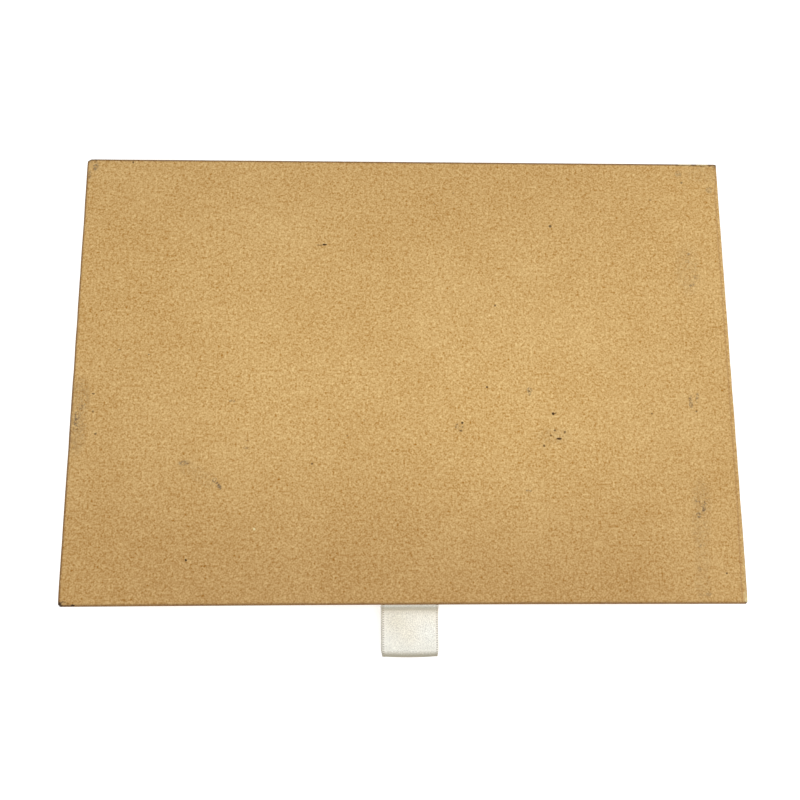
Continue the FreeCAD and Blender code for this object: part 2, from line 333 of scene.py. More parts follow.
def kraftPaper(name, overlay=None):
    # Kraft paper: brown pulp whose tone swings by noise at six scales, by a larger share in
    # blue, less dark flecks above a threshold, with fine hairs. Rare stray specks, where a
    # coarser noise peaks, worn folds with their painted shade and painted light, and an overlay
    # of marks and painted shade are laid over it. The tooth is the sum of the two finest
    # noises, a still finer one and the pale hairs.
    material, tree, surface = newFinish(name)
    place = inMillimetres(tree, True)
    lumps = [grain(tree, place, size, octaves, 0.5, curl)
             for size, _, octaves, curl in kraft["lumps"]]
    swing = 0.0
    for lump, (_, amount, _, _) in zip(lumps, kraft["lumps"]):
        swing = calc(tree, "MULTIPLY_ADD", calc(tree, "SUBTRACT", lump, 0.5), amount, swing)
    fleck = grain(tree, place, kraft["fleckSize"], 1.0, 0.5, 0.8)
    fleck = ramp(tree, fleck, kraft["fleckFrom"], kraft["fleckTo"])
    swing = calc(tree, "MULTIPLY_ADD", fleck, -kraft["fleckDepth"], swing)
    paleHair = calc(tree, "MAXIMUM", *(hairs(tree, place, t) for t in kraft["paleTurns"]))
    swing = calc(tree, "MULTIPLY_ADD", paleHair, kraft["hairAmount"], swing)
    darkHair = hairs(tree, scaled(tree, place, kraft["darkScale"]), kraft["darkTurn"])
    swing = calc(tree, "MULTIPLY_ADD", darkHair, -kraft["hairAmount"], swing)
    colour = vector(tree, "ADD", scaled(tree, kraft["swing"], swing), kraft["colour"])
    stray = grain(tree, place, kraft["straySize"], 1.0)
    stray = ramp(tree, stray, kraft["strayFrom"], kraft["strayTo"])
    stray = calc(tree, "MULTIPLY", fact(tree, "strayShare"), stray)
    colour = tint(tree, stray, colour, kraft["specksColour"])
    colour = wornAndShadedFolds(tree, place, colour)
    # The sleeve's overlay paints shade over its top as well as its marks
    if overlay:
        colour = overlay(tree, colour)
    height = grain(tree, place, kraft["toothSize"], 2.0)
    height = calc(tree, "MULTIPLY_ADD", paleHair, kraft["hairRise"], height)
    height = calc(tree, "ADD", height, calc(tree, "ADD", lumps[0], lumps[1]))
    even, sway = kraft["roughness"], kraft["roughSwing"]
    rough = ramp(tree, lumps[2], 0.3, 0.7, even - sway, even + sway, False)
    finished(tree, surface, colour, height, {**kraft, "roughness": rough})
    return material


def faded(tree, away, wear, share=1.0):
    # As strong as the wear up to its first distance, and nothing past its second
    near, far, strength = wear
    return calc(tree, "MULTIPLY", ramp(tree, away, near, far, strength, 0.0), share)


def swayed(tree, noise, reach):
    # Noise carried on to a swing of that reach either way
    return calc(tree, "MULTIPLY_ADD", noise, 2 * reach, -reach)


def wornAndShadedFolds(tree, place, colour):
    # Darkens the paper by its distance from a fold, as far as that fold is rubbed and shaded,
    # broken up by noise: worn edges with painted shade of the rounded folds. Reddens the sprung
    # crease, paints light on the strip outside it, and soils corners.
    ragged = swayed(tree, grain(tree, place, worn["raggedSize"], 3.0, 0.7), worn["ragged"])
    patchy = swayed(tree, grain(tree, place, worn["patchSize"]), worn["patchy"])
    crease = calc(tree, "MULTIPLY_ADD", ragged, worn["creaseShare"], fact(tree, "creaseDistance"))
    line = faded(tree, calc(tree, "ABSOLUTE", crease), worn["crease"])
    colour = tint(tree, line, colour, kraft["creaseColour"])
    # Painted light: the sloping strip between the sprung crease and the right edge made paler
    near, full, strength = worn["pale"]
    outside = ramp(tree, crease, near, full, 0.0, strength)
    outside = calc(tree, "MULTIPLY", outside, ramp(tree, crease, *worn["paleEnd"]))
    colour = tint(tree, outside, colour, kraft["paleColour"])
    # The edge line is real wear plus painted shade of the rounded fold
    edge = calc(tree, "ADD", fact(tree, "edgeDistance"), patchy)
    edge = calc(tree, "MULTIPLY_ADD", ragged, worn["edgeShare"], edge)
    line = faded(tree, edge, worn["edge"], fact(tree, "rubbed"))
    colour = tint(tree, line, colour, kraft["edgeColour"])
    corner = calc(tree, "MULTIPLY_ADD", ragged, worn["cornerShare"], fact(tree, "cornerDistance"))
    dirt = faded(tree, corner, worn["corner"], fact(tree, "soiled"))
    return tint(tree, dirt, colour, kraft["soilColour"])


# Board and tape. Lumps: size, octaves, roughness and swing. Flecks: size, curl, strength and
# colour. Tooth: size, octaves and roughness.
greyBoard = {
    "colour": (0.275, 0.255, 0.22), "tone": 0.75,
    "lumps": [(1.2, 4.0, 0.7, 0.5), (18.0, 2.0, 0.6, 0.16)],
    "flecks": [(0.8, 0.5, 0.7, (0.09, 0.085, 0.08, 1)),
               (1.3 / 1.31, 0.8, 0.6, (0.52, 0.50, 0.45, 1))],
    "fleckFrom": 0.66, "fleckTo": 0.74, "tooth": (0.5, 4.0, 0.7),
    "roughness": 0.92, "gloss": 0.2, "relief": 0.5, "reliefDepth": 0.00008,
}
gummedTape = {
    "colour": (0.42, 0.26, 0.11), "tone": 0.8, "lumps": [(0.8, 3.0, 0.6, 0.4)], "flecks": [],
    "tooth": (0.3, 3.0, 0.6),
    "roughness": 0.55, "gloss": 0.5, "relief": 0.3, "reliefDepth": 0.00004,
}


def pulp(name, look):
    # Pressed pulp: a plain colour times a tone that noises swing, with flecks where other
    # noises peak, and one more noise for its relief
    material, tree, surface = newFinish(name)
    place = inMillimetres(tree, False)
    tone = look["tone"]
    for size, octaves, roughness, swing in look["lumps"]:
        lump = grain(tree, place, size, octaves, roughness)
        tone = calc(tree, "MULTIPLY_ADD", lump, swing, tone)
    colour = scaled(tree, look["colour"], tone)
    for size, curl, strength, shade in look["flecks"]:
        fleck = grain(tree, place, size, 1.0, 0.5, curl)
        fleck = ramp(tree, fleck, look["fleckFrom"], look["fleckTo"], 0.0, strength)
        colour = tint(tree, fleck, colour, shade)
    finished(tree, surface, colour, grain(tree, place, *look["tooth"]), look)
    return material


print("helpers ready")

# The sizes that the frame gives, in millimetres
wrapLow, wrapHigh = boxOf("sleeve_wrap")
sheetLow, sheetHigh = boxOf("sleeve_base_sheet")
trayLow, trayHigh = boxOf("tray_wrap")
tailLow, tailHigh = boxOf("ribbon_tails")
loopLow, loopHigh = boxOf("ribbon_loop")
paperThick = sheetHigh[2] - sheetLow[2]
boardThick = np.ptp(boxOf("sleeve_back_board"), axis=0)[1]
sleeveLow, sleeveHigh = wrapLow.copy(), wrapHigh.copy()
sleeveBack = boxOf("sleeve_back_sheet")[1][1]
sleeveHigh[1] = sleeveBack
farAway = 50.0  # A distance for points with no fold or corner near them
strayEverywhere = 0.8  # Share of the stray specks on faces that the photograph doesn't show

# How the sleeve has worn and settled. Corner rounds are radii seen from above.
wear = {
    "cornerRound": {"frontLeft": 1.4, "backLeft": 1.9, "frontRight": 1.1, "backRight": 0.0},
    "cornerDrop": {"frontLeft": 0.55, "backLeft": 0.35, "frontRight": 0.45, "backRight": 0.1},
    "cornerReach": 5.0, "roundLow": 0.35,
    "shoulderBack": 0.5, "shoulderWide": 1.9, "shoulderFront": 2.8,
    "shoulderBackReach": 18.0, "shoulderFrontReach": 50.0,
    "shoulderDrop": 0.42, "shoulderGroove": 0.12, "grooveWidth": 0.28,
    "mouthSag": 0.35, "mouthSagReach": 45.0, "mouthBow": 0.28, "mouthBowReach": 30.0,
    "topReach": 4.0, "mouthFrom": 0.6, "mouthTo": 0.95, "shoulderCurve": 1.4,
    "dentDepth": 0.10, "dentReach": 1.4, "dentCell": 5.0, "seed": 11,
}


def shoulderWidth(y):
    # Width of the sprung fold along the right edge: narrow at the back, wider at the mouth
    back, wide, front = wear["shoulderBack"], wear["shoulderWide"], wear["shoulderFront"]
    fromBack = wrapHigh[1] - y
    deep = wrapHigh[1] - wrapLow[1]
    opening = smoothStep(0, wear["shoulderBackReach"], fromBack)
    flaring = smoothStep(deep - wear["shoulderFrontReach"], deep, fromBack)
    return back + (wide - back) * opening + (front - wide) * flaring


def wornSleeve(points):
    # Moves points of the closed sleeve to where wear has left them. Corners: inside radius
    # R of an upright edge, a square of side R is carried on to a quarter disc. Shoulder: a
    # slope and a groove along the right edge. Mouth: sags and bows between its corners.
    x, y, z = (points[..., k].copy() for k in range(3))
    halfWide = wrapHigh[0]
    share = np.clip((z - wrapLow[2]) / (wrapHigh[2] - wrapLow[2]), 0, 1)
    across = 1 - (x / halfWide) ** 2
    fromFront = y - wrapLow[1]
    upper = smoothStep(wear["mouthFrom"], wear["mouthTo"], share)
    top = smoothStep(wrapHigh[2] - wear["topReach"], wrapHigh[2], z)
    sag = wear["mouthSag"] * across * np.exp(-fromFront / wear["mouthSagReach"]) * upper
    bow = wear["mouthBow"] * across * np.exp(-fromFront / wear["mouthBowReach"])
    width = shoulderWidth(y)
    inward = halfWide - x
    slope = np.clip(1 - inward / width, 0, 1) ** wear["shoulderCurve"] * width
    slope *= wear["shoulderDrop"] / wear["shoulderFront"]
    groove = np.exp(-((inward - width) / wear["grooveWidth"]) ** 2) * wear["shoulderGroove"]
    groove *= np.clip(width, 0, 1)
    newX, newY = x.copy(), y + bow
    newZ = z - sag - (slope + groove) * top
    for end in ("front", "back"):
        for side in ("Left", "Right"):
            fromSide = x - wrapLow[0] if side == "Left" else wrapHigh[0] - x
            fromEnd = y - wrapLow[1] if end == "front" else sleeveBack - y
            toX = 1 if side == "Left" else -1
            toY = 1 if end == "front" else -1
            radius = wear["cornerRound"][end + side]
            away = np.hypot(fromSide, fromEnd)
            drop = wear["cornerDrop"][end + side] * top
            newZ -= drop * np.clip(1 - away / wear["cornerReach"], 0, 1) ** 2
            if radius == 0:
                continue
            px, py = np.clip(radius - fromSide, 0, None), np.clip(radius - fromEnd, 0, None)
            length = np.maximum(np.hypot(px, py), 1e-9)
            rounding = wear["roundLow"] + (1 - wear["roundLow"]) * share
            pull = (np.maximum(px, py) / length - 1) * rounding
            newX -= toX * px * pull
            newY -= toY * py * pull
    dents = softNoise(points, wear["dentCell"], wear["seed"])
    dents = np.clip(dents, 0, 1) * wear["dentDepth"]
    edge = edgeDistances(points, sleeveLow, sleeveHigh)[0]
    dents *= np.exp(-(edge / wear["dentReach"]) ** 2)
    newZ -= dents * top
    newX -= np.sign(x) * dents * smoothStep(halfWide - wear["topReach"], halfWide, np.abs(x))
    return np.stack([newX, newY, newZ], -1)


def edgeDistances(points, low, high):
    # Distances of a point on a box to the box's nearest edge and nearest corner: the second
    # and third smallest of its distances to the three nearest faces
    gaps = np.minimum(np.abs(points - low), np.abs(high - points))
    gaps = np.sort(gaps, axis=-1)
    return gaps[..., 1], gaps[..., 2]


def edgeAndCornerShares(points, low, high, edges, corners):
    # How rubbed and shaded the nearest edges are and how soiled the nearest corners are, from 0 to
    # 1.
    # Each of the twelve edges and eight corners counts by one over its distance squared.
    gaps = np.concatenate([np.abs(points - low), np.abs(high - points)], -1)
    names = ["left", "front", "base", "right", "back", "top"]
    shares = []
    for table in (edges, corners):
        total, weights = 0, 0
        for label, amount in table.items():
            away = np.max([gaps[..., names.index(word)] for word in label.split()], axis=0)
            weight = 1 / (away ** 2 + 0.05)
            total, weights = total + weight * amount, weights + weight
        shares.append(total / weights)
    return shares



def loopStations(lengths, firstSide, firstPlace, gap, fine, coarse, extra, round_, arcSteps):
    # Stations round a rounded rectangle: side number, share along it, and for corners the
    # quarter turn's share, starting and ending at a seam
    side, share, turn = [], [], []
    for k in range(5):
        number = (firstSide + k) % 4
        clear = lengths[number] - 2 * round_
        steps = spacedSteps(clear, fine, coarse)
        steps = withPlaces(steps, [p - round_ for p in extra.get(number, [])], fine)
        steps = steps / clear
        seam = (firstPlace - round_) / clear
        half = gap / 2 / clear
        if k == 0:
            steps = np.concatenate([[seam + half], steps[steps > seam + 4 * half]])
        if k == 4:
            steps = np.concatenate([steps[steps < seam - 4 * half], [seam - half]])
        side.append(np.full(len(steps), number))
        share.append(steps)
        turn.append(np.full(len(steps), -1.0))
        if k < 4:
            turns = np.arange(1, arcSteps) / arcSteps
            side.append(np.full(len(turns), (number + 1) % 4))
            share.append(np.zeros(len(turns)))
            turn.append(turns)
    return np.concatenate(side), np.concatenate(share), np.concatenate(turn)


def loopPlaces(low, high, inset, cornerRound, stations):
    # Points of rounded rectangles, each drawn in by its inset. Along a side a point is a
    # share of the way between two corner arcs, and on a corner it is the arc's centre plus
    # its radius times the direction that turns from one side's normal to the next
    side, share, turn = stations
    signs = np.array([[-1, -1], [1, -1], [1, 1], [-1, 1]])
    normals = np.array([[0, -1], [1, 0], [0, 1], [-1, 0]])
    half = (high - low) / 2
    middle = (high + low) / 2
    inset, cornerRound = inset[:, None, None], cornerRound[:, None, None]
    reach = half - inset - cornerRound

    def centre(number):
        return middle + signs[number] * reach

    start = centre(side) + cornerRound * normals[side]
    finish = centre((side + 1) % 4) + cornerRound * normals[side]
    straight = start + share[:, None] * (finish - start)
    angle = np.where(turn < 0, 0, turn) * math.pi / 2
    away = np.cos(angle)[:, None] * normals[(side - 1) % 4]
    away = away + np.sin(angle)[:, None] * normals[side]
    curved = centre(side) + cornerRound * away
    return np.where((turn < 0)[:, None], straight, curved)


def wrapPath(wrapped, offset):
    # The paper's path from inside the mouth, round the lip, along the outside and over the
    # closed end, at an offset into the paper: inset from the outside, and distance from the
    # mouth. Straights and quarter turns follow each other.
    wall, lip, bend = wrapped["wall"], wrapped["lip"], wrapped["bend"]
    deep, flap, turnIn = wrapped["deep"], wrapped["flap"], wrapped["turnIn"]
    quarter = np.linspace(0, math.pi / 2, wrapped["arcSteps"] + 1)
    inside = turnIn - spacedSteps(turnIn - lip, 0.5, 3.0)
    levels = [p - bend for p in wrapped["levels"]]
    outside = spacedSteps(deep - 2 * bend, 0.25, wrapped["coarse"])
    outside = bend + withPlaces(outside, levels, 0.3)
    face = np.linspace(wall - lip, bend, 4)
    under = bend + spacedSteps(flap - bend, 0.4, 3.0)
    lipCos, lipSin = (lip - offset) * np.cos(quarter), (lip - offset) * np.sin(quarter)
    foldCos, foldSin = (bend - offset) * np.cos(quarter), (bend - offset) * np.sin(quarter)
    runs = [
        (np.full(len(inside), wall - offset), inside),
        (wall - lip + lipCos, lip - lipSin),
        (face, np.full(len(face), offset)),
        (bend - foldSin, bend - foldCos),
        (np.full(len(outside), offset), outside),
        (bend - foldCos, deep - bend + foldSin),
        (under, np.full(len(under), deep - offset)),
    ]
    inset = np.concatenate([run[0][:-1] for run in runs[:-1]] + [runs[-1][0]])
    along = np.concatenate([run[1][:-1] for run in runs[:-1]] + [runs[-1][1]])
    return inset, along


def pathLength(inset, along):
    return np.concatenate([[0], np.cumsum(np.hypot(np.diff(inset), np.diff(along)))])


def foldedWrap(wrapped, low, high):
    # Both faces of a folded paper wrap as grids of (a, b, distance from mouth), its place on
    # the flat sheet, and the inset of each grid row
    lengths = [high[0] - low[0], high[1] - low[1]] * 2
    bend = wrapped["bend"]
    stations = loopStations(
        lengths, wrapped["seamSide"], wrapped["seamPlace"], wrapped["seamGap"],
        wrapped["fine"], wrapped["coarse"], wrapped["extra"], bend, wrapped["arcSteps"],
    )
    grids = []
    for offset in (0.0, paperThick):
        inset, along = wrapPath(wrapped, offset)
        outerRound = np.clip(bend - inset, wrapped["mitre"], None)
        innerRound = wrapped["innerRound"] * smoothStep(bend, wrapped["wall"], inset)
        loops = loopPlaces(low, high, inset, outerRound + innerRound, stations)
        depth = np.broadcast_to(along[:, None, None], loops.shape[:2] + (1,))
        grids.append(np.concatenate([loops, depth], -1))
    inset, along = wrapPath(wrapped, 0.0)
    outline = loopPlaces(low, high, np.zeros(1), np.full(1, bend), stations)[0]
    girth = pathLength(outline[:, 0], outline[:, 1])
    down = pathLength(inset, along)
    flat = np.stack(np.broadcast_arrays(girth[None, :], down[:, None]), -1)
    return grids, flat, inset, along, stations


# Sleeve wrap
sleeveWrap = {
    "wall": 2 * paperThick + boardThick, "lip": 0.3, "bend": 0.7, "mitre": 0.1,
    "innerRound": 0.35, "flap": 15.0, "turnIn": 18.2, "turnInWobble": 0.35,
    "deep": wrapHigh[1] - wrapLow[1], "levels": [], "arcSteps": 5,
    "fine": 0.22, "coarse": 4.2, "seamSide": 0, "seamPlace": 54.0, "seamGap": 0.3,
    # Closely set lines across the sprung fold
    "extra": {2: list(np.arange(0.86, 3.9, 0.16))},
    "cockle": 0.05, "cockleCell": 26.0, "cockleSeed": 4, "wobbleCell": 22.0, "wobbleSeed": 31,
    # Distance from the crease that the paper has below this depth: outside it within
    # creaseSide of the right side, and inside it elsewhere
    "offCrease": 9.0, "creaseDeep": 0.8, "creaseSide": 10.0, "strayDeep": 1.0,
    "wobbleFrom": 6.0, "cockleFrom": 2.0, "cockleTo": 16.0, "cockleAbove": 25.0,
}

# How much each edge is rubbed and carries painted shade, and each corner soiled
sleeveRubsAndShade = {
    "front top": 0.66, "left top": 0.70, "back top": 0.80, "right top": 0.05,
    "left front": 0.42, "right front": 0.32, "front base": 0.45, "left back": 0.34,
    "right back": 0.34, "left base": 0.32, "right base": 0.30, "back base": 0.34,
}
sleeveSoil = {
    "left front top": 1.0, "right front top": 0.25, "left back top": 0.45,
    "right back top": 0.65, "left front base": 0.6, "right front base": 0.6,
    "left back base": 0.5, "right back base": 0.6,
}

# Marks on the sleeve's top: x, y, length and width in millimetres, turn in degrees, strength
topMarks = {
    "specks": [
        (-37.6, 60.9, 1.9, 0.8, 0, 1.0), (-39.9, 60.7, 2.4, 0.5, -4, 0.6),
        (68.4, 70.7, 1.3, 1.2, 0, 0.8), (41.6, 31.8, 0.8, 0.8, 0, 0.75),
        (37.0, -6.6, 0.9, 0.8, 0, 0.9), (-128.4, 101.1, 0.9, 0.8, 0, 0.8),
        (-137.8, 70.2, 0.6, 0.6, 0, 0.35), (-129.8, 10.3, 1.3, 0.6, -20, 0.55),
        (-116.5, 8.1, 0.7, 0.7, 0, 0.6), (-140.2, -10.0, 1.1, 0.7, 0, 0.75),
        (-138.2, -28.1, 1.0, 0.8, 30, 0.7), (-41.8, -41.5, 0.9, 0.8, 0, 0.7),
        (-26.3, -28.9, 0.7, 0.6, 0, 0.55), (-18.7, -21.7, 0.6, 0.5, 0, 0.4),
        (66.8, -18.8, 1.3, 1.1, 20, 1), (67.8, -18.6, 0.9, 0.7, 0, 0.6),
        (65.4, -28.7, 0.9, 0.7, 0, 0.6), (62.2, -33.4, 1.1, 0.8, -30, 0.75),
        (132.4, -17.6, 0.9, 0.8, 0, 0.65), (111.9, -18.7, 0.8, 0.7, 0, 0.65),
        (141.1, -89.8, 0.8, 0.8, 0, 0.8),
        (13.9, 81.3, 0.6, 0.5, 0, 0.4), (22.9, 86.9, 0.7, 0.6, 0, 0.4),
        (25.4, -23.0, 1.2, 0.9, 60, 0.9), (23.1, -23.9, 1.0, 0.6, 40, 0.6),
        (24.9, -26.6, 1.2, 0.7, 0, 0.75), (22.5, -25.0, 0.8, 0.6, 0, 0.6),
        (25.6, -24.9, 0.7, 0.6, 0, 0.5), (67.4, -26.4, 0.9, 0.7, 90, 0.7),
        (71.8, -27.2, 1.2, 0.9, 0, 0.65), (69.2, -30.2, 2.1, 0.9, 8, 0.95),
        (56.1, -8.5, 1.1, 0.9, 0, 0.5), (-140.0, -18.0, 1.0, 0.7, 0, 0.6),
        (132.4, 93.1, 1.0, 0.8, 0, 0.65), (-95.9, -83.4, 1, 0.9, 0, 0.95),
        (148.9, -102.4, 1.0, 0.8, 0, 0.7), (-147.7, -100.8, 1.0, 0.6, 30, 0.6),
        (-146.2, -101.2, 2.6, 0.5, -12, 0.4), (132.6, 102.0, 5.0, 0.8, 0, 0.5),
        (137.9, 102.0, 4.2, 0.8, -2, 0.5), (142.4, 101.8, 3.6, 0.6, -4, 0.45),
        (-147.6, 102.3, 4.6, 0.8, 0, 0.5), (116.8, 84.2, 0.8, 0.7, 0, 0.5),
    ],
    "soot": [
        (-148.9, -101.8, 2.0, 0.8, -65, 0.9), (-148.3, -102.4, 1.3, 0.7, -30, 0.75),
        (-145.9, -102.5, 5.4, 0.7, 0, 0.55), (-143.3, -102.3, 1.4, 0.9, 0, 1),
        (146.8, 101.8, 1.6, 0.7, -10, 0.6), (149.0, 101.9, 1.0, 0.8, 0, 0.2),
    ],
    "smudges": [
        (56.2, -8.0, 2.2, 1.6, 90, 0.6), (56.4, -9.9, 1, 0.8, 0, 0.4),
        (54.6, -53.6, 1.9, 0.9, -15, 0.65), (-147.0, -22.6, 7, 2.1, 85, 0.75),
        (-98.4, -41.1, 3.6, 1.9, 0, 0.6), (-84.8, -48.6, 1.9, 1.2, 60, 0.85),
        (-82.9, -51.2, 3.2, 1.4, -60, 0.75), (130.0, -13.2, 5.6, 1.1, 95, 0.6),
        (130.2, -58.2, 2.0, 1.2, -30, 0.65), (133.2, -59.2, 1.6, 1.4, 0, 0.7),
        (132.4, -61.6, 2.2, 1.7, 70, 0.8), (133.1, -11.4, 3.6, 1.0, 80, 0.5),
        (130.4, -64.4, 2.2, 1.5, 75, 0.75), (130.9, -77.9, 1.8, 1.2, 0, 0.5),
        (131.1, 97.6, 2.8, 2.2, 80, 0.35), (133.7, 57.3, 2.2, 0.8, 0, 0.5),
        (132.7, 53.6, 1.5, 1.4, 0, 0.4), (134.0, 42.2, 2.4, 1.2, 25, 0.6),
        (136.5, 46.0, 2.6, 1.9, 0, 0.3), (-78.1, -13.2, 2.3, 0.8, -15, 0.45),
        (-71.2, -34.4, 2.2, 0.7, 0, 0.45), (-70.7, -31.1, 0.9, 0.6, 0, 0.35),
        (-144.8, -15.5, 2.8, 2.2, 90, 0.5), (-145.8, 99.0, 3.2, 2.0, 80, 0.65),
        (-148.5, 94.7, 2.6, 1.5, 90, 0.5), (143.0, 100.9, 6, 1.2, -2, 0.25),
        (24.0, -25.0, 3.4, 3.0, 0, 0.18), (-146.5, -20.0, 30, 6.0, 88, 0.24),
        (131.5, -64.0, 24, 7.0, 84, 0.16), (132.5, 50.0, 22, 7.0, 80, 0.12),
        (66.5, -29.0, 9, 6.0, 0, 0.14), (-92.0, -46.0, 16, 5.0, -30, 0.12),
        (145.5, 89.5, 2.8, 2.0, 80, 0.40), (129.1, -87.9, 1.6, 1.1, 0, 0.40),
        (132.6, -98.6, 2.4, 1.6, 60, 0.35), (129.5, -99.0, 1.8, 1.2, 0, 0.30),
        (130.5, -89.0, 22, 5.0, 86, 0.11), (144.0, 97.5, 12, 7.0, 0, 0.13),
    ],
    "pale": [
        (-66.7, -70.1, 0.8, 0.8, 0, 1), (149.2, -101.2, 1.9, 1.4, 60, 0.75),
        (148.7, -99.2, 3.0, 1.3, 82, 0.35), (134.5, 102.5, 6.0, 0.9, 0, 0.7),
        (143.0, 102.5, 5.0, 0.9, 0, 0.75),
    ],
    "grow": {"specks": 1.0, "smudges": 1.25, "soot": 1.0, "pale": 1.1}, "edge": 1.35,
    "bend": 0.35, "bendSize": 1.2, "stretch": 2.2,
    # Smudges are broken up by a noise of this size between these values
    "breakSize": 1.0, "breakFrom": 0.36, "breakTo": 0.62,
    "squeeze": {"round": (1, 1, 0.1), "wide": (1 / 2.2, 1, 0.1), "tall": (1, 1 / 2.2, 0.1)},
}


paintedFalloff = {
    # Where each painted shade starts and ends along y, and its share
    "front": (0.0, -122.0, 0.30), "back": (10.0, 125.0, 0.13),
    "right": 0.82, "below": 0.4, "belowLevel": 25.0, "channels": (0.84, 1.0, 1.1),
    # Broad patches of painted shade where the share is above 0 and painted light where it is
    # below: x, y, radius, share
    "patches": [
        (-150, -12, 95, 0.085), (150, -8, 75, 0.055), (45, -30, 65, -0.05),
        (150, 103, 75, -0.055), (150, -103, 60, -0.06), (-150, -103, 60, -0.065),
    ],
}


def spotsOf(overlay):
    # Marks as spots that the shader can draw with one distance each: a long mark is a row of
    # them, and one that lies along x or y is of spots stretched that way
    stretch = topMarks["stretch"]
    for x, y, length, width, turn, strength in overlay:
        angle = math.radians(turn)
        alongX, alongY = math.cos(angle), math.sin(angle)
        slanting = abs(alongX * alongY) > 0.4
        way = "round" if slanting or length < 1.5 * width else "wide"
        if way == "wide" and abs(alongY) > 0.7:
            way = "tall"
        share = 1 if way == "round" else stretch
        count = max(1, round(length / width / share))
        radius = math.sqrt(length / count * width / share) / 2
        for k in range(count):
            along = ((k + 0.5) / count - 0.5) * length
            yield x + along * alongX, y + along * alongY, radius, way, strength


def markShare(tree, places, kind):
    # The strongest of a set of soft spots: twice the strength times (edge less distance over
    # radius), at most the strength
    share = 0.0
    for x, y, radius, way, strength in spotsOf(topMarks[kind]):
        squeeze = topMarks["squeeze"][way]
        centre = (x * squeeze[0], y * squeeze[1], wrapHigh[2] * squeeze[2])
        slope = -2 * strength / radius / topMarks["grow"][kind]
        edge = 2 * strength * topMarks["edge"]
        value = calc(tree, "MULTIPLY_ADD", distance(tree, places[way], centre), slope, edge)
        share = calc(tree, "MAXIMUM", share, calc(tree, "MINIMUM", value, strength))
    return share


def paintedFalloffAndMarks(tree, colour):
    # Painted shade on the sleeve: 1 less a smooth step towards the mouth and a weaker one
    # towards the back, most on top and less towards the right, and broad round patches of
    # painted shade and painted light. Over it lie the top's marks, their outlines bent by
    # noise, the smudges broken up by another.
    place = inMillimetres(tree, False)
    x, y, z = apart(tree, place)
    # Painted shade: the sleeve darker towards the mouth and the back, most on top, less towards
    # the right, with broad patches of painted shade and painted light
    shadeShare = 0.0
    for start, end, share in (paintedFalloff["front"], paintedFalloff["back"]):
        shadeShare = calc(tree, "ADD", shadeShare, ramp(tree, y, start, end, 0.0, share))
    upper = ramp(tree, z, paintedFalloff["belowLevel"], wrapHigh[2], paintedFalloff["below"], 1.0)
    across = ramp(tree, x, wrapLow[0], wrapHigh[0], 1.0, paintedFalloff["right"], False)
    shadeShare = calc(tree, "MULTIPLY", calc(tree, "MULTIPLY", shadeShare, upper), across)
    for patchX, patchY, radius, share in paintedFalloff["patches"]:
        away = distance(tree, place, (patchX, patchY, wrapHigh[2]))
        shadeShare = calc(tree, "ADD", shadeShare, ramp(tree, away, 0.0, radius, share, 0.0))
    kept = vector(tree, "SUBTRACT", (1, 1, 1), scaled(tree, paintedFalloff["channels"], shadeShare))
    colour = vector(tree, "MULTIPLY", colour, kept)
    bend, reach = grain(tree, place, topMarks["bendSize"], 2.0, 0.5, output=1), topMarks["bend"]
    bend = vector(tree, "MULTIPLY_ADD", bend, (2 * reach,) * 3, (-reach,) * 3)
    place = vector(tree, "ADD", place, bend)
    broken = grain(tree, place, topMarks["breakSize"], 2.0, 0.6, 0.8)
    broken = ramp(tree, broken, topMarks["breakFrom"], topMarks["breakTo"])
    places = {
        way: vector(tree, "MULTIPLY", place, squeeze)
        for way, squeeze in topMarks["squeeze"].items()
    }
    for kind in ("smudges", "specks", "soot", "pale"):
        share = markShare(tree, places, kind)
        if kind == "smudges":
            share = calc(tree, "MULTIPLY", share, broken)
        colour = tint(tree, share, colour, kraft[kind + "Colour"])
    return colour


def makeSleeveWrap():
    # Both faces of the folded paper, with its turned-in edge made uneven, its top cockled by
    # noise, and everything then moved by the wear
    grids, flat, inset, along, _ = foldedWrap(sleeveWrap, wrapLow[[0, 2]], wrapHigh[[0, 2]])
    inner = (inset > sleeveWrap["wall"] - paperThick - 0.01) & (along > 1)
    inner &= along < sleeveWrap["turnIn"] + 0.1
    turned = (inner * smoothStep(sleeveWrap["wobbleFrom"], sleeveWrap["turnIn"], along))[:, None]
    faces = []
    for number, grid in enumerate(grids):
        points = np.stack([grid[..., 0], wrapLow[1] + grid[..., 2], grid[..., 1]], -1)
        if number == 0:
            edge, corner = edgeDistances(points, wrapLow, wrapHigh)
            rubbed, soiled = edgeAndCornerShares(points, wrapLow, wrapHigh, sleeveRubsAndShade, sleeveSoil)
            deep = wrapHigh[2] - points[..., 2]
            fromRight = wrapHigh[0] - points[..., 0]
            crease = fromRight - shoulderWidth(points[..., 1])
            beside = np.where(fromRight < sleeveWrap["creaseSide"], -1, 1)
            beside = beside * sleeveWrap["offCrease"]
            crease = np.where(deep > sleeveWrap["creaseDeep"], beside, crease)
            stray = strayEverywhere * (deep > sleeveWrap["strayDeep"])
        wobble = softNoise(points, sleeveWrap["wobbleCell"], sleeveWrap["wobbleSeed"])
        points[..., 1] += wobble * sleeveWrap["turnInWobble"] * turned
        cockle = softNoise(points, sleeveWrap["cockleCell"], sleeveWrap["cockleSeed"])
        cockle *= smoothStep(sleeveWrap["cockleFrom"], sleeveWrap["cockleTo"], edge)
        above = points[..., 2] > sleeveWrap["cockleAbove"]
        points[..., 2] += sleeveWrap["cockle"] * cockle * above
        faces.append(wornSleeve(points))
    facts = paperFacts(edge, corner, crease, rubbed, soiled, stray)
    quads = shellFaces(*flat.shape[:2])
    return makePiece("sleeveWrap", np.stack(faces), quads, np.stack([flat, flat]), facts)


sleevePaper = kraftPaper("kraftSleeve", paintedFalloffAndMarks)
dress(makeSleeveWrap(), "sleeve", ["sleeve_wrap"], sleevePaper)
print("sleeve wrap made")


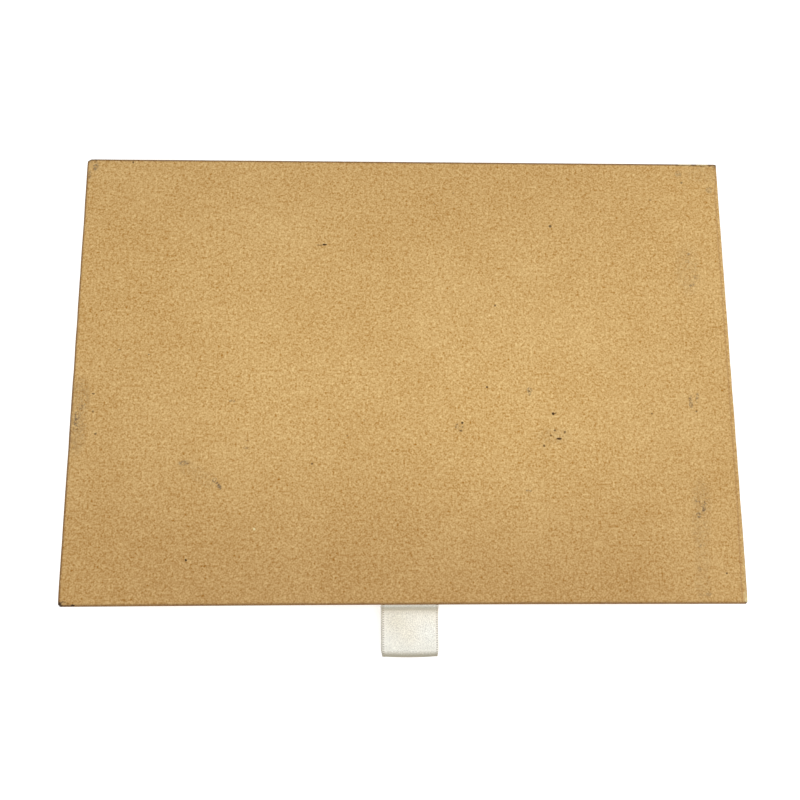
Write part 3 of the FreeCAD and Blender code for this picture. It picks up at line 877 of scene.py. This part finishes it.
def roundedSlab(low, high, radius, fine, coarse):
    # A closed box whose faces are grids. Points beyond the inner box, which is smaller by
    # the radius, are carried on to that distance from it, which rounds the edges.
    steps = [spacedSteps(high[k] - low[k], min(fine, (high[k] - low[k]) / 3), coarse)
             for k in range(3)]
    counts = [len(s) for s in steps]
    index = np.arange(np.prod(counts)).reshape(counts)
    quads = []
    for axis in range(3):
        for end in (0, -1):
            face = np.take(index, end, axis=axis)
            ring = np.stack([face[:-1, :-1], face[:-1, 1:], face[1:, 1:], face[1:, :-1]], -1)
            ring = ring.reshape(-1, 4)
            flip = (end == 0) == (axis != 1)
            quads.append(ring[:, ::-1] if not flip else ring)
    quads = np.concatenate(quads)
    used, quads = np.unique(quads, return_inverse=True)
    quads = quads.reshape(-1, 4)
    place = np.unravel_index(used, counts)
    points = np.stack([low[k] + steps[k][place[k]] for k in range(3)], -1)
    core = np.clip(points, low + radius, high - radius)
    away = points - core
    length = np.linalg.norm(away, axis=-1, keepdims=True)
    return core + away / np.maximum(length, 1e-9) * radius, quads


# Sleeve boards and tape, moved with the wear so that nothing comes through the paper
sleeveBoards = {"radius": 0.45, "fine": 0.5, "coarse": 6.0}
boardGrey = pulp("greyboard", greyBoard)
tapeBrown = pulp("gummedTape", gummedTape)

for place in ("top", "base", "left", "right", "back"):
    node = f"sleeve_{place}_board"
    low, high = boxOf(node)
    points, quads = roundedSlab(low, high, **sleeveBoards)
    piece = makePiece(f"sleeve{place.capitalize()}Board", wornSleeve(points), quads)
    dress(piece, "sleeve", [node], boardGrey)

for node in [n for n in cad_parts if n.startswith("sleeve_edge_tape")]:
    words = node.split("_")
    name = words[0] + "".join(word.capitalize() for word in words[1:])
    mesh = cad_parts[node].data.copy()
    mesh.name = name
    places = np.zeros(len(mesh.vertices) * 3)
    mesh.vertices.foreach_get("co", places)
    moved = wornSleeve(places.reshape(-1, 3) / mm) * mm
    mesh.vertices.foreach_set("co", moved.astype(np.float32).ravel())
    mesh.update()
    mesh.materials.clear()
    piece = placed(name, mesh)
    dress(piece, "sleeve", [node], tapeBrown)
print("sleeve boards and tape made")


sheetCut = {
    "fine": 0.4, "coarse": 7.0, "ragged": 0.15, "raggedCell": 9.0, "raggedReach": 1.0,
    "seed": 7, "cleanRim": 0.95, "rubbed": 0.8,
    # The step over the flaps: their width, the play past them, and grid lines along it
    "flap": 15.0, "flapPast": 0.5, "stepWide": 0.9, "stepLines": (-0.5, -0.25, 0, 0.25, 0.5),
}
# Piece, node, axis and way it faces, whether it steps over the wrap's flaps, inset of its rim
# from the folds, whether it is worn with the sleeve, and its body
covers = [
    ("sleeveBaseSheet", "sleeve_base_sheet", 2, -1, False, 3.0, True, "sleeve"),
    ("sleeveBackSheet", "sleeve_back_sheet", 1, 1, True, 3.0, True, "sleeve"),
    ("trayBaseSheet", "tray_base_sheet", 2, -1, True, 4.0, False, "drawer"),
    ("trayFloorLiner", "tray_floor_liner", 2, 1, False, 0.0, False, "drawer"),
]


def makeCover(name, node, face, away, stepped, inset, worn, body):
    # A thin sheet over a rectangle: a grid on its two long axes, whose faces lie across the
    # third. It sinks by one paper's thickness inside the flaps, with a smooth step, and
    # noise makes its cut edges slightly uneven.
    low, high = boxOf(node)
    axes = [k for k in range(3) if k != face]
    size = [high[k] - low[k] for k in axes]
    ledge = sheetCut["flap"] - inset + sheetCut["flapPast"]
    lines = [ledge + d for d in sheetCut["stepLines"]] if stepped else []
    fine = sheetCut["fine"]
    steps = [
        withPlaces(spacedSteps(s, fine, sheetCut["coarse"]), lines + [s - p for p in lines], fine)
        for s in size
    ]
    first, second = np.meshgrid(*steps, indexing="ij")
    rim = np.minimum(np.minimum(first, size[0] - first), np.minimum(second, size[1] - second))
    half = sheetCut["stepWide"] / 2
    sunk = paperThick * smoothStep(ledge - half, ledge + half, rim) * stepped
    layers = []
    for depth in (0.0, paperThick):
        points = np.zeros(first.shape + (3,))
        points[..., axes[0]] = low[axes[0]] + first
        points[..., axes[1]] = low[axes[1]] + second
        points[..., face] = (high[face] if away > 0 else low[face]) - away * (sunk + depth)
        layers.append(points)
    pull = softNoise(layers[0], sheetCut["raggedCell"], sheetCut["seed"]) * sheetCut["ragged"]
    pull *= np.exp(-rim / sheetCut["raggedReach"]) * np.sign(size[0] / 2 - first)
    for points in layers:
        points[..., axes[0]] += pull
    points = np.stack([wornSleeve(layer) if worn else layer for layer in layers])
    flat = np.stack([first, second], -1)
    facts = paperFacts(rim + sheetCut["cleanRim"], farAway, farAway, sheetCut["rubbed"], 0,
                       strayEverywhere)
    piece = makePiece(name, points, shellFaces(*rim.shape), np.stack([flat, flat]), facts)
    dress(piece, body, [node], plainPaper)


plainPaper = kraftPaper("kraftSheet")
for cover in covers:
    makeCover(*cover)
print("cover sheets made")

# Tray wrap
slitHalf = {"tall": 0.45, "wide": (tailHigh[0] - tailLow[0]) / 2 + 0.3}
ribbonMiddle = (tailHigh[0] + tailLow[0]) / 2
slitLevel = (tailHigh[2] + tailLow[2]) / 2
trayWrap = {
    "wall": 2 * paperThick + boardThick, "lip": 0.3, "bend": 0.7, "mitre": 0.1,
    "innerRound": 0.35, "flap": 15.0, "turnIn": trayHigh[2] - boxOf("tray_floor_liner")[0][2],
    "deep": trayHigh[2] - trayLow[2], "arcSteps": 5,
    "levels": [trayHigh[2] - slitLevel + side * slitHalf["tall"] for side in (-1, 1)],
    "fine": 0.3, "coarse": 4.2, "seamSide": 2, "seamGap": 0.3,
    "seamPlace": trayHigh[0] + 118.0,
    "extra": {0: [ribbonMiddle + side * slitHalf["wide"] - trayLow[0] for side in (-1, 1)]},
    "tailRise": 0.32, "tailSoft": 0.8,
    "edgePast": 0.15, "cornerPast": 0.8, "rubbed": 0.6, "soiled": 0.5,
}


def ramped(value, low, high):
    # 1 between low and high, falling to 0 over a soft distance outside them
    soft = trayWrap["tailSoft"]
    return smoothStep(low - soft, low, value) * (1 - smoothStep(high, high + soft, value))


def makeTrayWrap():
    # Both faces of the folded paper, raised over the glued tails, with the slit cut as a
    # hole between grid lines
    grids, flat, inset, along, (side, _, turn) = foldedWrap(
        trayWrap, trayLow[[0, 1]], trayHigh[[0, 1]]
    )
    inner = ((inset > trayWrap["wall"] - paperThick - 0.01) & (along > 1))[:, None]
    faces = []
    for number, grid in enumerate(grids):
        points = np.stack([grid[..., 0], grid[..., 1], trayHigh[2] - grid[..., 2]], -1)
        if number == 0:
            edge, corner = edgeDistances(points, trayLow, trayHigh)
        over = ramped(points[..., 0], tailLow[0], tailHigh[0])
        over *= ramped(points[..., 2], tailLow[2], tailHigh[2])
        atFront = points[..., 1] < trayLow[1] + trayWrap["wall"] + 0.5
        points[..., 1] += trayWrap["tailRise"] * over * atFront * inner
        faces.append(points)
    fromMiddle = np.abs(grids[0][0, :, 0] - ribbonMiddle)
    fromLevel = np.abs(trayHigh[2] - along - slitLevel)
    across = (side == 0) & (turn < 0) & (fromMiddle < slitHalf["wide"] + 0.05)
    down = (inset < 0.01) & (fromLevel < slitHalf["tall"] + 0.05)
    hole = [*np.flatnonzero(down)[[0, -1]], *np.flatnonzero(across)[[0, -1]]]
    facts = paperFacts(
        edge + trayWrap["edgePast"], corner + trayWrap["cornerPast"], farAway,
        trayWrap["rubbed"], trayWrap["soiled"], strayEverywhere,
    )
    quads = shellFaces(*flat.shape[:2], hole)
    return makePiece("trayWrap", np.stack(faces), quads, np.stack([flat, flat]), facts)


dress(makeTrayWrap(), "drawer", ["tray_wrap"], plainPaper)
for node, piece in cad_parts.items():
    isBoard = node.startswith("tray_") and node.endswith("_board")
    if isBoard or node.startswith("tray_corner_tape"):
        piece.data.materials.clear()
        piece.data.materials.append(boardGrey if isBoard else tapeBrown)
print("tray made")

# Ribbon
ribbon = {
    "width": tailHigh[0] - tailLow[0], "thick": 0.3, "acrossSteps": 46, "step": 0.12,
    # The route from the upper tail's end to the tip, and from the tip to the lower tail's
    # end: millimetres behind a named line, and above a named level
    "upper": [
        ("bed", 0, "slit", 16.0), ("bed", 0, "slit", 0.15), ("front", 0, "slit", 0.15),
        ("front", -2.55, "slit", 0.27), ("crease", 0.35, "loop", 0.30),
        ("crease", -0.15, "loop", 0.15), ("crease", -6.0, "loop", 0.70),
        ("tip", 5.5, "loop", 1.24),
    ],
    "lower": [
        ("tip", 6.0, "loop", -0.78), ("crease", -6.0, "loop", -0.45),
        ("crease", -0.15, "loop", -0.20), ("crease", 0.45, "loop", -0.10),
        ("front", -2.3, "slit", -0.40), ("front", 0, "slit", -0.15), ("bed", 0, "slit", -0.15),
        ("bed", 0, "slit", -16.0),
    ],
    "tipBeyond": 0.87, "tipRound": 1.0, "tipRise": 0.12, "soften": 0.2,
    "picotPitch": 0.80, "picotReach": 0.15, "edgeCord": 0.55, "cordFrom": (0.2, 1.0),
    "selvageWide": 0.95, "selvageRise": 0.06, "foldWide": 1.5, "shiftFrom": (0.3, 3.4),
    "upperShift": -0.50, "tipShift": -0.32, "rootShift": -0.6, "tipCurve": 0.35, "droop": 0.2,
    "tipPinch": 0.5, "pinchReach": 1.7,
    # Size, height and seed of each ripple, and the share of the way out where they grow
    "ripples": ((9.0, 0.16, 19), (3.5, 0.04, 23)), "rippleFrom": (0.02, 0.3),
}


def ribbonHalf():
    # Half the ribbon's full width, with its corded edge
    return ribbon["width"] / 2 + ribbon["edgeCord"]


def ribbonLine():
    # The ribbon's middle line as seen from the side: straight runs between chosen points and
    # a half turn at the tip, sampled evenly and then blurred along their length with a bell
    # curve, which rounds the bends
    half, curl = ribbon["thick"] / 2, ribbon["tipRound"]
    at = {
        "bed": tailHigh[1] - half, "front": trayLow[1], "crease": loopHigh[1],
        "tip": loopLow[1] - ribbon["tipBeyond"],
        "slit": slitLevel, "loop": (loopHigh[2] + loopLow[2]) / 2,
    }
    route = {
        way: [(at[line] + behind, at[level] + above) for line, behind, level, above in ribbon[way]]
        for way in ("upper", "lower")
    }
    turns = np.linspace(math.pi / 2, 1.5 * math.pi, 9)
    round_ = np.stack([
        at["tip"] + half + curl * (1 + np.cos(turns)),
        at["loop"] + ribbon["tipRise"] + curl * np.sin(turns),
    ], -1)
    corners = np.concatenate([route["upper"], round_, route["lower"]])
    reach = pathLength(corners[:, 0], corners[:, 1])
    s = np.linspace(0, reach[-1], int(reach[-1] / ribbon["step"]))
    spread = int(4 * ribbon["soften"] / ribbon["step"])
    kernel = np.arange(-spread, spread + 1) * ribbon["step"] / ribbon["soften"]
    kernel = np.exp(-(kernel ** 2) / 2)
    kernel /= kernel.sum()
    line = []
    for column in corners.T:
        values = np.interp(s, reach, column)
        before = 2 * values[0] - values[spread:0:-1]
        after = 2 * values[-1] - values[-2:-spread - 2:-1]
        line.append(np.convolve(np.concatenate([before, values, after]), kernel, "valid"))
    return *line, s, reach[-1]


def makeRibbon():
    # Each face is the middle line moved by half the thickness along its normal, carried
    # across the width, which the fold at the tip pinches by a bell curve. Selvages swell and
    # scallop: their edge follows a cosine of the length. The layer under the fold lies askew.
    y, z, s, total = ribbonLine()
    dy, dz = np.gradient(y, s), np.gradient(z, s)
    size = np.hypot(dy, dz)
    normalY, normalZ = -dz / size, dy / size
    across = np.sin(np.linspace(-math.pi / 2, math.pi / 2, ribbon["acrossSteps"]) * 0.98)
    across = across / across[-1]
    outside = smoothStep(*ribbon["cordFrom"], trayLow[1] - y)
    tipAt = np.argmin(y)
    pinch = ribbon["tipPinch"] * np.exp(-((y - y[tipAt]) / ribbon["pinchReach"]) ** 2)
    half = ribbon["width"] / 2 + (ribbon["edgeCord"] * outside - pinch)[:, None]
    under = smoothStep(-ribbon["foldWide"], ribbon["foldWide"], s - s[tipAt])
    crease, tip = loopHigh[1], y[tipAt]
    outShare = np.clip((crease - y) / (crease - tip), 0, 1)
    shift = under * (ribbon["rootShift"] + (ribbon["tipShift"] - ribbon["rootShift"]) * outShare)
    shift = (shift + ribbon["upperShift"]) * smoothStep(*ribbon["shiftFrom"], trayLow[1] - y)
    fromEdge = half * (1 - np.abs(across[None, :]))
    selvage = 1 - smoothStep(ribbon["selvageWide"] * 0.6, ribbon["selvageWide"], fromEdge)
    wave = 0.5 + 0.5 * np.cos(2 * math.pi * s / ribbon["picotPitch"])
    picot = ribbon["picotReach"] * wave * outside
    swell = ribbon["selvageRise"] * selvage * (0.4 + 0.6 * wave[:, None]) * outside[:, None]
    x = half + picot[:, None] * np.abs(across[None, :]) ** 40
    x = ribbonMiddle + shift[:, None] + across[None, :] * x
    sag = ribbon["droop"] * outShare[:, None] * across[None, :] ** 2
    bow = ribbon["tipCurve"] * outShare[:, None] ** 3 * across[None, :] ** 2
    layers = []
    for face in (1, -1):
        lift = face * (ribbon["thick"] / 2 + swell)
        points = np.stack([
            x, y[:, None] + normalY[:, None] * lift + bow,
            z[:, None] + normalZ[:, None] * lift - sag,
        ], -1)
        for cell, amount, seed in ribbon["ripples"]:
            ripple = softNoise(points * [1, 1, 0], cell, seed) * amount
            points[..., 2] += ripple * smoothStep(*ribbon["rippleFrom"], outShare)[:, None]
        layers.append(points)
    flat = np.stack(np.broadcast_arrays(across[None, :] * ribbonHalf(), s[:, None]), -1)
    bent = np.where(s < s[tipAt], y, 2 * tip - y)
    facts = {"fromEdge": fromEdge, "fromCrease": (crease - bent)[:, None],
             "fromTip": (bent - tip)[:, None]}
    for label, values in facts.items():
        facts[label] = np.broadcast_to(values, (2,) + flat.shape[:2])
    quads = shellFaces(len(s), len(across))
    piece = makePiece("ribbonPull", np.stack(layers), quads, np.stack([flat, flat]), facts, 70)
    return piece, total, (s[tipAt] + s[np.argmin(np.abs(y[:tipAt] - crease))]) / 2


satin = {
    "colour": (0.805, 0.807, 0.735),
    # Size in millimetres and swing of each noise in the cloth's tone
    "mottle": [(0.46, 1.10), (1.1, 0.42), (5.0, 0.16)],
    # How closely warp and picks are set across and along the cloth, and the tone's swing
    "warp": (1 / 0.16, 0.22, 1.0), "warpSwing": 0.16,
    "picks": (0.5, 3.2, 1.0), "pickSwing": 0.10,
    # Places across and along the cloth, radius and tone of broad patches of painted sheen: painted
    # highlight where the tone is above 0, painted shade below
    "patches": [
        (9.0, -1.0, 9.5, (0.055, 0.08, 0.12)), (-6.5, -5.5, 7.0, (-0.09, -0.10, -0.14)),
        (-1.0, 0.5, 7.0, (-0.03, -0.045, -0.075)), (-11.5, 3.0, 5.0, (0.01, 0.02, 0.04)),
    ],
    "threadShade": (0.93, 0.92, 0.86, 1), "thread": (1.5, 1.9, 0.3),
    "gapShade": (0.14, 0.115, 0.08, 1), "gapFrom": -0.40, "gapTo": -0.85,
    "creaseShade": (0.44, 0.395, 0.285, 1), "crease": (0.35, 0.90, 0.30),
    "creaseTail": (0.3, 3.3, 0.36), "creaseStart": (-2.1, -0.8),
    "tipShade": (0.33, 0.30, 0.22, 1), "tip": (0.5, 3.3, 0.95), "under": (-2.0, -1.0, 0.15),
    "rimShade": 0.42, "rimWide": 0.75, "unevenSize": 0.9, "uneven": 0.6, "creaseShare": 0.35,
    "roughness": 0.42, "gloss": 0.4, "sheen": 0.25, "sheenRoughness": 0.4,
    "relief": 0.5, "reliefDepth": 0.00006,
}


def satinCloth(name):
    # Cream satin: fine warp threads along the ribbon, crossed by faint picks and mottled by
    # noise at three scales. Selvages have pale threads with painted shade in the gaps between
    # them. Painted shade lies along the crease, fading outwards, round the folded end, on the
    # under layer's selvage and along the left rim, and broad round patches are painted
    # highlight and painted shade of the satin's sheen.
    material, tree, surface = newFinish(name)
    place = inMillimetres(tree, True)
    x, y, _ = apart(tree, place)
    warp = grain(tree, vector(tree, "MULTIPLY", place, satin["warp"]), 1.0, 2.0)
    picks = grain(tree, vector(tree, "MULTIPLY", place, satin["picks"]), 1.0, 2.0, 0.5)
    swings = [(warp, satin["warpSwing"]), (picks, satin["pickSwing"])]
    swings += [(grain(tree, place, size, 1.0), swing) for size, swing in satin["mottle"]]
    tone = 1 - sum(swing for _, swing in swings) / 2
    for noise, swing in swings:
        tone = calc(tree, "MULTIPLY_ADD", noise, swing, tone)
    # Broad patches of painted highlight and painted shade of the satin's sheen
    paintedLight = (1, 1, 1)
    for across, along, radius, swing in satin["patches"]:
        away = distance(tree, place, (across, clothMiddle + along, 0.0))
        patch = scaled(tree, swing, ramp(tree, away, 0.0, radius, 1.0, 0.0))
        paintedLight = vector(tree, "ADD", patch, paintedLight)
    colour = vector(tree, "MULTIPLY", scaled(tree, satin["colour"], tone), paintedLight)
    fromEdge, fromTip = fact(tree, "fromEdge"), fact(tree, "fromTip")
    colour = tint(tree, faded(tree, fromEdge, satin["thread"]), colour, satin["threadShade"])
    # Painted shade in the gaps between the selvage's pale threads
    beat = calc(tree, "MULTIPLY", y, 2 * math.pi / ribbon["picotPitch"])
    gap = ramp(tree, calc(tree, "COSINE", beat), satin["gapFrom"], satin["gapTo"])
    wide = ribbon["selvageWide"]
    selvage = ramp(tree, fromEdge, wide - 0.1, wide + 0.3, 1.0, 0.0)
    selvage = calc(tree, "MULTIPLY", ramp(tree, fromEdge, 0.05, 0.4), selvage)
    colour = tint(tree, calc(tree, "MULTIPLY", gap, selvage), colour, satin["gapShade"])
    uneven = swayed(tree, grain(tree, place, satin["unevenSize"], 2.0, 0.7), satin["uneven"])
    # Painted shade along the crease, with a tail fading below it
    crease = calc(tree, "MULTIPLY_ADD", uneven, satin["creaseShare"], fact(tree, "fromCrease"))
    start = ramp(tree, calc(tree, "ADD", crease, uneven), *satin["creaseStart"])
    creaseShadeShare = faded(tree, crease, satin["creaseTail"])
    creaseShadeShare = calc(tree, "ADD", faded(tree, crease, satin["crease"]), creaseShadeShare)
    creaseShadeShare = calc(tree, "MULTIPLY", start, creaseShadeShare)
    colour = tint(tree, creaseShadeShare, colour, satin["creaseShade"])
    # Painted shade round the folded end, on the under layer's selvage and along the left rim
    away = calc(tree, "ADD", calc(tree, "ABSOLUTE", fromTip), uneven)
    rim = ribbonHalf()
    rim = ramp(tree, x, -rim, satin["rimWide"] - rim, satin["rimShade"], 0.0)
    for share in (
        faded(tree, away, satin["tip"]),
        faded(tree, fromTip, satin["under"], selvage),
        calc(tree, "MULTIPLY", rim, ramp(tree, fromTip, -1.0, 0.0)),
    ):
        colour = tint(tree, share, colour, satin["tipShade"])
    surface.inputs["Sheen Weight"].default_value = satin["sheen"]
    surface.inputs["Sheen Roughness"].default_value = satin["sheenRoughness"]
    finished(tree, surface, colour, calc(tree, "MULTIPLY_ADD", picks, 0.5, warp), satin)
    return material


ribbonPiece, ribbonLength, clothMiddle = makeRibbon()
ribbonPiece.data.materials.append(satinCloth("creamSatin"))
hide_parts("ribbon_tails", "ribbon_loop")
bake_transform(ribbonPiece)
print(f"ribbon made, {ribbonLength:.1f} mm long")

# Camera at the photograph's place, over the front half of the box, looking almost straight
# down
view = {
    "place": (-11.12, -73.96, 406.44), "turn": (9.765, -1.347, -0.141),
    "lens": 36.0, "sensor": 36.0, "near": 0.01, "far": 20.0,
}
lens = bpy.data.cameras.new("camera")
lens.lens = view["lens"]
lens.sensor_width = view["sensor"]
lens.clip_start, lens.clip_end = view["near"], view["far"]
camera = placed("camera", lens)
camera.location = [v * mm for v in view["place"]]
camera.rotation_euler = [math.radians(v) for v in view["turn"]]
bpy.context.scene.camera = camera

# Floor, room light and lamps
studio = {
    "floorSize": 12.0, "floorColour": (0.80, 0.80, 0.80, 1), "roomStrength": 0.50,
    # The floor's own glow near the object and far from it, and how far out in metres
    "floorNear": 0.50, "floorFar": 0.66, "nearTo": 0.32, "farFrom": 1.1,
    "lamps": {
        "key": {"place": (0.10, 0.04, 1.25), "size": 0.35, "power": 5.72},
        "rightFill": {"place": (0.9, -0.15, 0.55), "size": 0.5, "power": 1.6},
        "frontFill": {"place": (-0.5, -1.2, 0.7), "size": 0.9, "power": 4.0},
    },
}


def looked(tree):
    # 1 for rays that show the background, from the camera, a gloss or through glass
    rays = tree.nodes.new("ShaderNodeLightPath")
    seen = calc(tree, "MAXIMUM", rays.outputs["Is Camera Ray"], rays.outputs["Is Glossy Ray"])
    return calc(tree, "MAXIMUM", seen, rays.outputs["Is Transmission Ray"])


def makeFloor():
    # White where it is looked at: its own glow makes up for the lamps' falling off outwards,
    # and leaves the object's shadow to be seen
    half = studio["floorSize"] / 2
    mesh = bpy.data.meshes.new("floor")
    corners = [(-half, -half, 0), (half, -half, 0), (half, half, 0), (-half, half, 0)]
    mesh.from_pydata(corners, [], [(0, 1, 2, 3)])
    material = bpy.data.materials.new("paleFloor")
    material.use_nodes = True
    tree = material.node_tree
    tree.nodes.clear()
    away = vector(tree, "LENGTH", add(tree, "TexCoord", {}, 3), output=1)
    glow = ramp(
        tree, away, studio["nearTo"], studio["farFrom"], studio["floorNear"], studio["floorFar"]
    )
    glow = calc(tree, "MULTIPLY", looked(tree), glow)
    shown = add(tree, "Emission", {"Color": (1, 1, 1, 1), "Strength": glow})
    plain = add(tree, "BsdfDiffuse", {"Color": studio["floorColour"]})
    add(tree, "OutputMaterial", {"Surface": add(tree, "AddShader", {0: plain, 1: shown})}, None)
    mesh.materials.append(material)
    placed("floor", mesh)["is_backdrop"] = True


def makeRoom():
    world = bpy.data.worlds.new("room")
    bpy.context.scene.world = world
    world.use_nodes = True
    tree = world.node_tree
    tree.nodes.clear()
    strength = ramp(tree, looked(tree), 0, 1, studio["roomStrength"], 1.0, False)
    light = add(tree, "Background", {"Color": (1, 1, 1, 1), "Strength": strength})
    add(tree, "OutputWorld", {"Surface": light}, None)


def makeLamp(name, lamp):
    data = bpy.data.lights.new(name, "AREA")
    data.shape = "DISK"
    data.size = lamp["size"]
    data.energy = lamp["power"]
    light = placed(name, data)
    light.location = lamp["place"]
    light.visible_camera = False
    aim = -np.array(lamp["place"])
    light.rotation_euler = (
        math.atan2(math.hypot(aim[0], aim[1]), -aim[2]), 0, math.atan2(aim[0], -aim[1]) + math.pi,
    )


makeFloor()
makeRoom()
for lampName, lamp in studio["lamps"].items():
    makeLamp(lampName, lamp)
bpy.context.scene.view_settings.view_transform = "Standard"
print("camera, floor and light set")

low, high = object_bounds()
